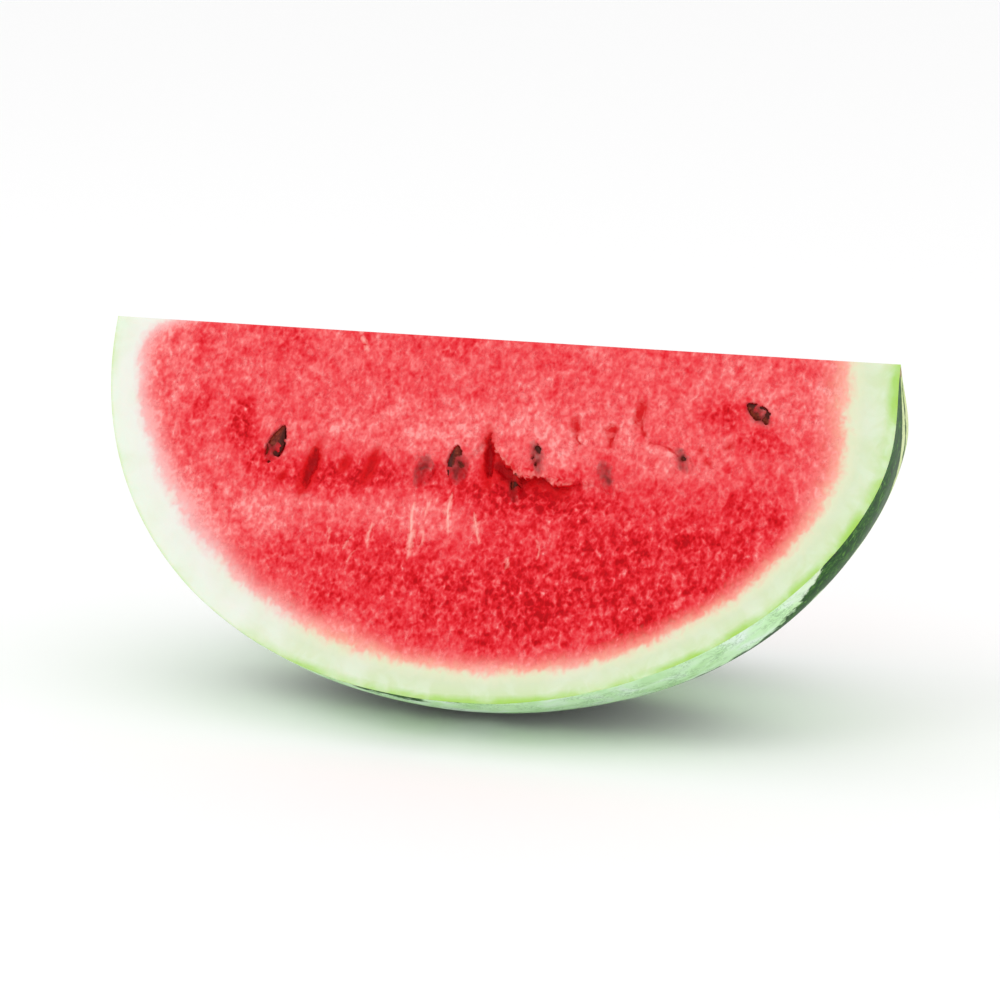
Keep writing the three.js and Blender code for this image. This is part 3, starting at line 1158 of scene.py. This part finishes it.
print("middle grey is", round(colour(128, 128, 128)[0], 3), "of full light")

# %% [markdown]
# ## Flesh: the cells
#
# Ripe flesh is a mass of large, juicy cells. Seen close, it is mottled: pale where the cell walls lie,
# deep red where the cells are full. One noise would look like clouds, so three patterns are added:
# rounded cells, finer strands, and vesicles with a true cell pattern. They read the fruit's own
# coordinates, so the pattern runs through the fruit and on from one cut face to the other.

# %% The mottle of the cells
flesh = Nodes("flesh_and_rind")
lengthened = flesh.stretched((1, 1, 0.7))  # the cells are a little longer down the face
cells = flesh.noise(1.75, 1.6, 0.5, 0.35, lengthened)
strands = flesh.noise(1.2, 1.0, 0.5, 0.6, lengthened)
vesicles = flesh.add(
    "ShaderNodeTexVoronoi", {"Vector": lengthened, "Scale": 1 / (1.0 * MM), "Randomness": 1.0}
).outputs["Distance"]
mottle = flesh.math("ADD", flesh.centred(cells, 1.6), flesh.centred(strands, 0.8))
mottle = flesh.math("ADD", mottle, flesh.centred(vesicles, 0.35))
print("nodes in the mottle", len(flesh.tree.nodes))

# %% [markdown]
# ## Flesh: from wet red to dry pink
#
# The dryness from the vertices, with its patches of painted light and shade, uneven clumps and the
# paler zone near the rind add up to one number.
# The mottle is laid over it, weaker where the flesh is dry, because dry cells all look alike. Last, a
# ramp turns the number into colour. Mixing red and pink by hand would miss the shades in between.

# %% The reds
clumps = flesh.noise(4.5, 2.0, 0.55, 0.5)
patches = flesh.noise(12, 2.0, 0.5, 0.3)
rind = flesh.look("rind")
dryness_and_light = flesh.math("ADD", flesh.look("dryness_and_light"), flesh.centred(patches, 0.6))
dryness_and_light = flesh.math("ADD", dryness_and_light, flesh.centred(clumps, 0.55))
near_rind = flesh.ramp(flesh.math("MULTIPLY", rind, 0.5), (0.5, 0.32), (0.64, 0.2), (0.95, 0.0))
dryness_and_light = flesh.math("ADD", dryness_and_light, near_rind)
contrast = flesh.math("MAXIMUM", flesh.math("MULTIPLY_ADD", dryness_and_light, -1.9, 1.6), 0.5)
dryness_and_light = flesh.math("MULTIPLY_ADD", mottle, contrast, dryness_and_light)
red = flesh.ramp(
    flesh.math("MULTIPLY_ADD", dryness_and_light, 0.8, 0.2),
    (0.0, colour(178, 0, 12)),
    (0.2, colour(202, 6, 20)),
    (0.36, colour(216, 26, 38)),
    (0.52, colour(226, 50, 59)),
    (0.68, colour(232, 80, 84)),
    (0.84, colour(239, 113, 113)),
    (1.0, colour(246, 154, 151)),
)

# Thin, wriggling lines of deeper red, where two cells meet, come and go.
worms = flesh.noise(1.3, 1.0, 0.5, 1.6, lengthened)
worm = flesh.ramp(flesh.math("ABSOLUTE", flesh.centred(worms, 1.0)), (0.0, 0.4), (0.05, 0.0))
worm = flesh.math("MULTIPLY", worm, flesh.ramp(flesh.noise(3.2, 1.0), (0.42, 0.0), (0.6, 1.0)))
red = flesh.mix(worm, red, colour(186, 26, 42))
print("nodes with the reds", len(flesh.tree.nodes))

# %% [markdown]
# ## Flesh: the marks
#
# Sunk places hold juice and are a clear red, and the deepest are darker still, as painted shade. Fibres
# are pale. Over a seed the flesh is thin and lets its brown through, and round the seed's edge the same
# brown is painted shade. Painted spots would have clean borders, so each look from the vertices is
# first broken up by the cells or the strands, but only where the look is present at all.

# %% Wet hollows, fibres and seeds that show through
def broken_up(look, pattern, full_at):
    uneven = flesh.math("MULTIPLY_ADD", flesh.centred(pattern, 1.0), 0.9, look)
    return flesh.math("MULTIPLY", uneven, flesh.ramp(look, (0.0, 0.0), (full_at, 1.0)))


sunk = flesh.look("sunk")
sunk_grain = flesh.math("MULTIPLY", flesh.centred(cells, 0.8), flesh.ramp(sunk, (0.0, 0.0), (0.2, 1.0)))
sunk = flesh.math("ADD", sunk, sunk_grain)
# Juice red in sunk places; under the lip it is also painted shadow.
red = flesh.mix(flesh.ramp(sunk, (0.05, 0.0), (0.5, 0.95)), red, colour(209, 10, 18))
# The darkest red, in the deepest places, is painted shade.
red = flesh.mix(flesh.ramp(sunk, (0.55, 0.0), (0.95, 0.9)), red, colour(160, 2, 11))
pale = broken_up(flesh.look("pale"), strands, 0.3)
red = flesh.mix(flesh.ramp(pale, (0.1, 0.0), (1.0, 0.8)), red, colour(251, 184, 172))
# A seed's brown through thin flesh, and painted shade round the seed's edge.
seed_tint_and_shade = broken_up(flesh.look("seed_tint_and_shade"), cells, 0.2)
red = flesh.mix(flesh.ramp(seed_tint_and_shade, (0.08, 0.0), (1.0, 0.85)), red, colour(104, 25, 22))
print("nodes with the marks", len(flesh.tree.nodes))

# %% [markdown]
# ## Rind: cream, white and green
#
# Towards the skin the red gives way to cream, and then to the rind: nearly white at the stem end and
# greener towards the blossom end. One ramp can't be both, so there are two, mixed along the fruit. The
# border between rind and flesh is uneven, because the fruit ripens from the inside out.

# %% Two ramps for the rind
uneven = flesh.math("ADD", flesh.centred(flesh.noise(9, 2.0), 0.35), flesh.centred(cells, 0.42))
uneven = flesh.math("MULTIPLY", uneven, flesh.ramp(rind, (0.35, 0.0), (0.95, 1.0)))
rind_share = flesh.math("MULTIPLY", flesh.math("ADD", rind, uneven), 0.5)
green_rind = flesh.ramp(
    rind_share,
    (0.0, colour(170, 210, 126)),
    (0.03, colour(194, 223, 158)),
    (0.10, colour(202, 221, 172)),
    (0.20, colour(207, 222, 182)),
    (0.30, colour(210, 221, 187)),
    (0.40, colour(219, 223, 190)),
    (0.475, colour(229, 208, 180)),
    (0.55, colour(241, 176, 154)),
)
white_rind = flesh.ramp(
    rind_share,
    (0.0, colour(186, 220, 140)),
    (0.012, colour(212, 230, 192)),
    (0.05, colour(226, 233, 216)),
    (0.20, colour(229, 231, 220)),
    (0.37, colour(229, 229, 220)),
    (0.45, colour(232, 214, 208)),
    (0.55, colour(236, 186, 184)),
)
GREENS_PER_METRE, GREEN_AT_MIDDLE = 16.0, 1.3  # it starts 81 mm from the middle, at the stem end
towards_blossom = flesh.add("ShaderNodeSeparateXYZ", {"Vector": flesh.place}).outputs["X"]
green_share = flesh.math(
    "MULTIPLY_ADD", towards_blossom, GREENS_PER_METRE, GREEN_AT_MIDDLE, clamp=True
)
green_noise = flesh.centred(flesh.noise(13, 2.0), 1.4)
green_share = flesh.math("ADD", green_share, green_noise, clamp=True)
pith = flesh.mix(green_share, white_rind, green_rind)
print("nodes with the rind", len(flesh.tree.nodes))

# %% [markdown]
# ## Rind: clouds, the lime line, and the way into the flesh
#
# The rind is milky in clouds, and right under the skin it has a thin, uneven line of fresh lime green.
# The line could be a band of even width, but a real one swells and fades, so it follows the patches
# on the vertices and a noise. At the end a soft ramp takes the rind over into the red.

# %% Clouds, lime and the whole colour
cloud = flesh.ramp(flesh.noise(6, 3.0, 0.55, 0.6), (0.42, 0.0), (0.62, 0.5))
cloud = flesh.math("MULTIPLY", cloud, flesh.ramp(rind, (0.1, 1.0), (0.9, 0.0)))
pith = flesh.mix(cloud, pith, colour(226, 236, 222))
lime_noise = flesh.centred(flesh.noise(11, 3.0), 2.4)
lime = flesh.math("MULTIPLY_ADD", flesh.look("lime"), 0.8, lime_noise)
lime = flesh.math("MULTIPLY", flesh.math("ADD", lime, 0.35), green_share)
lime_edge = flesh.math("ADD", rind, flesh.centred(flesh.noise(4, 2.0), 0.16))
lime_line = flesh.ramp(lime_edge, (0.08, 1.0), (0.27, 0.0))
lime = flesh.math("MULTIPLY", flesh.ramp(lime, (0.0, 0.0), (1.2, 0.75)), lime_line)
pith = flesh.mix(lime, pith, colour(158, 206, 76))
into_flesh = flesh.ramp(rind_share, (0.46, 0.0), (0.55, 0.35), (0.66, 0.8), (0.78, 1.0))
flesh.give("Base Color", flesh.mix(into_flesh, pith, red))
print("nodes with the whole colour", len(flesh.tree.nodes))

# %% [markdown]
# ## Flesh and rind: the surface
#
# Cut flesh is wet and grainy, and light goes some way into it. Its shine could come from a clear coat,
# but that looks like glass. A modest gloss with a fine bump, and a little light scattered under the
# surface, give the soft glow of a fresh cut. The rind is smoother, so the bump fades out there.

# %% Gloss, grain and glow
flesh.give("Roughness", flesh.math("MULTIPLY_ADD", cells, -0.35, 0.62))
flesh.give("Specular IOR Level", 0.12)
flesh.give("IOR", 1.38)
grain_depth = flesh.ramp(rind_share, (0.45, 0.1), (0.75, 1.0))
grain_height = flesh.math("ADD", flesh.centred(cells, 1.0), flesh.centred(strands, 0.6))
flesh.give("Normal", flesh.bump(flesh.math("MULTIPLY", grain_height, grain_depth), 0.4, 0.7))
flesh.give("Subsurface Weight", 0.14)
flesh.give("Subsurface Radius", (1.0, 0.28, 0.22))
flesh.give("Subsurface Scale", 2.0 * MM)
wedge_mesh.materials.append(flesh.material)
print("flesh and rind have", len(flesh.tree.nodes), "nodes")

# %% [markdown]
# ## Skin: the ground
#
# The skin is smooth and slightly waxy. Its ground is a pale, milky green, olive at the blossom end,
# with a net of fine veins; its palest, bluish-white patches are a painted sheen. A cell pattern would
# make the net too even. The veins are drawn where a noise crosses its middle value, which gives thin
# lines that wander and close on themselves.

# %% The pale ground and its veins
skin = Nodes("striped_skin")
# The palest, bluish-white stop of this ramp is a painted sheen.
ground_and_sheen = skin.ramp(
    skin.noise(11, 3.0, 0.5, 0.5),
    (0.3, colour(176, 220, 156)), (0.5, colour(200, 236, 190)), (0.7, colour(222, 240, 226)),
)
OLIVES_PER_METRE, OLIVE_AT_MIDDLE = 45.0, -4.1  # it starts 91 mm from the middle
towards_blossom = skin.add("ShaderNodeSeparateXYZ", {"Vector": skin.place}).outputs["X"]
olive = skin.math("MULTIPLY_ADD", towards_blossom, OLIVES_PER_METRE, OLIVE_AT_MIDDLE, clamp=True)
ground_and_sheen = skin.mix(skin.math("MULTIPLY", olive, 0.7), ground_and_sheen, colour(204, 208, 132))
veins = skin.noise(4.0, 3.0, 0.6, 1.8)
vein = skin.ramp(skin.math("ABSOLUTE", skin.math("SUBTRACT", veins, 0.5)), (0.0, 0.45), (0.065, 0.0))
vein = skin.math("MULTIPLY", vein, skin.ramp(skin.noise(9, 2.0), (0.42, 0.0), (0.58, 1.0)))
ground_and_sheen = skin.mix(vein, ground_and_sheen, colour(84, 136, 78))
print("nodes in the ground", len(skin.tree.nodes))

# %% [markdown]
# ## Skin: the stripes and the scars
#
# The stripes are dark, with feathered edges and lighter flecks inside. The vertices say how far the
# nearest stripe is; two noises, one coarse and one fine, are added to that before it is cut off, so
# the edge frays as a real one does. At the two poles the skin is corky, where stem and flower sat.

# %% Stripes, cork and gloss
coarse = skin.centred(skin.noise(8, 4.0, 0.62, 0.8), 11.0)
fine = skin.centred(skin.noise(2.2, 3.0, 0.6, 0.5), 5.0)
edge = skin.math("ADD", skin.look("stripe"), skin.math("ADD", coarse, fine))
edge_share = skin.math("MULTIPLY_ADD", edge, 0.05, 0.5, clamp=True)
flecks = skin.noise(2.6, 4.0, 0.65, 1.2)
dark = skin.ramp(
    flecks, (0.30, colour(8, 42, 8)), (0.52, colour(28, 76, 20)), (0.68, colour(80, 128, 48)),
    (0.8, colour(140, 176, 92)),
)
coat = skin.mix(skin.ramp(edge_share, (0.455, 0.0), (0.545, 1.0)), dark, ground_and_sheen)
scar = skin.math("ADD", skin.look("scar"), skin.centred(skin.noise(1.5, 3.0, 0.6, 0.5), 0.8))
cork = skin.ramp(skin.noise(1.2, 3.0), (0.35, colour(112, 88, 56)), (0.65, colour(172, 150, 106)))
coat = skin.mix(skin.ramp(scar, (0.35, 0.0), (0.6, 1.0)), coat, cork)
skin.give("Base Color", coat)
skin.give("Roughness", skin.math("MULTIPLY_ADD", flecks, 0.2, 0.32))
skin.give("IOR", 1.25)
skin.give("Specular IOR Level", 0.1)
skin.give("Coat Weight", 0.04)
skin.give("Coat Roughness", 0.16)
skin.give("Normal", skin.bump(skin.noise(3.5, 3.0), 0.25, 0.3))
wedge_mesh.materials.append(skin.material)
print("skin has", len(skin.tree.nodes), "nodes")

# %% [markdown]
# ## The seed coat
#
# A ripe seed is dark brown, darker still along its rim, with a warmer, mottled middle. Two flat
# browns would look painted. One speckle noise drives the colour, the frayed border of the rim and the
# roughness together, and a thin film of juice adds a faint gloss.

# %% The finish of the seeds
coat_of_seed = Nodes("seed_coat")
speckle = coat_of_seed.noise(0.9, 4.0, 0.65, 0.6)
warm = coat_of_seed.ramp(
    speckle, (0.32, colour(74, 15, 8)), (0.5, colour(112, 34, 21)), (0.7, colour(142, 70, 46))
)
edge_tone = coat_of_seed.math("MULTIPLY_ADD", speckle, 0.5, coat_of_seed.look("tone"))
at_rim = coat_of_seed.ramp(edge_tone, (0.75, 0.0), (1.1, 0.8))
coat_of_seed.give("Base Color", coat_of_seed.mix(at_rim, warm, colour(52, 16, 12)))
coat_of_seed.give("Roughness", coat_of_seed.math("MULTIPLY_ADD", speckle, 0.3, 0.25))
coat_of_seed.give("Specular IOR Level", 0.1)
coat_of_seed.give("Coat Weight", 0.04)
coat_of_seed.give("Coat Roughness", 0.12)
coat_of_seed.give("Normal", coat_of_seed.bump(speckle, 0.3, 0.15))
for obj, seed in seed_objects:
    obj.data.materials.append(coat_of_seed.material)
print("seed coat has", len(coat_of_seed.tree.nodes), "nodes")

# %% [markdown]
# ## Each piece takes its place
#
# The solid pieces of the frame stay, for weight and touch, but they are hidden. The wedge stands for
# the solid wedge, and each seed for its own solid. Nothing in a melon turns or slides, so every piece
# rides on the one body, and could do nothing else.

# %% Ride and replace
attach(wedge, "root")
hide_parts("melon_wedge")
for obj, seed in seed_objects:
    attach(obj, "root")
    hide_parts(seed["name"])
print("pieces", 1 + len(seed_objects))

# %% [markdown]
# ## A pale studio
#
# A cut fruit looks freshest in bright, even light on white. A single sun would leave hard shadows and
# dark flesh. So the room itself gives most of the light, and two large, soft lamps shape the fruit:
# one high on the left, and a weaker one low on the right, for the skin.

# %% The room and the floor
scene = bpy.context.scene
scene.view_settings.view_transform = "Standard"
scene.view_settings.look = "None"
world = bpy.data.worlds.new("bright_room")
world.use_nodes = True
world.node_tree.nodes["Background"].inputs["Color"].default_value = (1, 1, 1, 1)
world.node_tree.nodes["Background"].inputs["Strength"].default_value = 1.0
scene.world = world

FLOOR_HALF_SIZE = 6  # metres
floor_mesh = bpy.data.meshes.new("floor")
floor_shape = bmesh.new()
bmesh.ops.create_grid(floor_shape, x_segments=1, y_segments=1, size=FLOOR_HALF_SIZE)
floor_shape.to_mesh(floor_mesh)
floor_shape.free()
floor = bpy.data.objects.new("floor", floor_mesh)
scene.collection.objects.link(floor)
floor_finish = Nodes("white_floor")
floor_finish.give("Base Color", colour(250, 250, 250))
floor_finish.give("Roughness", 0.9)
floor_mesh.materials.append(floor_finish.material)
print("floor", 2 * FLOOR_HALF_SIZE, "m wide")

# %% Two soft lamps
def lamp(name, place, aim, size, power):
    light = bpy.data.lights.new(name, "AREA")
    light.shape = "DISK"
    light.size = size
    light.energy = power
    obj = bpy.data.objects.new(name, light)
    obj.location = place
    obj.rotation_euler = (Vector(aim) - Vector(place)).to_track_quat("-Z", "Y").to_euler()
    scene.collection.objects.link(obj)
    print(name, power, "W")


lamp("key_lamp", (-0.7, -1.0, 1.3), (0, 0, 0.05), 0.9, 4)
lamp("side_lamp", (1.3, -0.2, 0.16), (0.05, 0, 0.04), 0.4, 2.2)
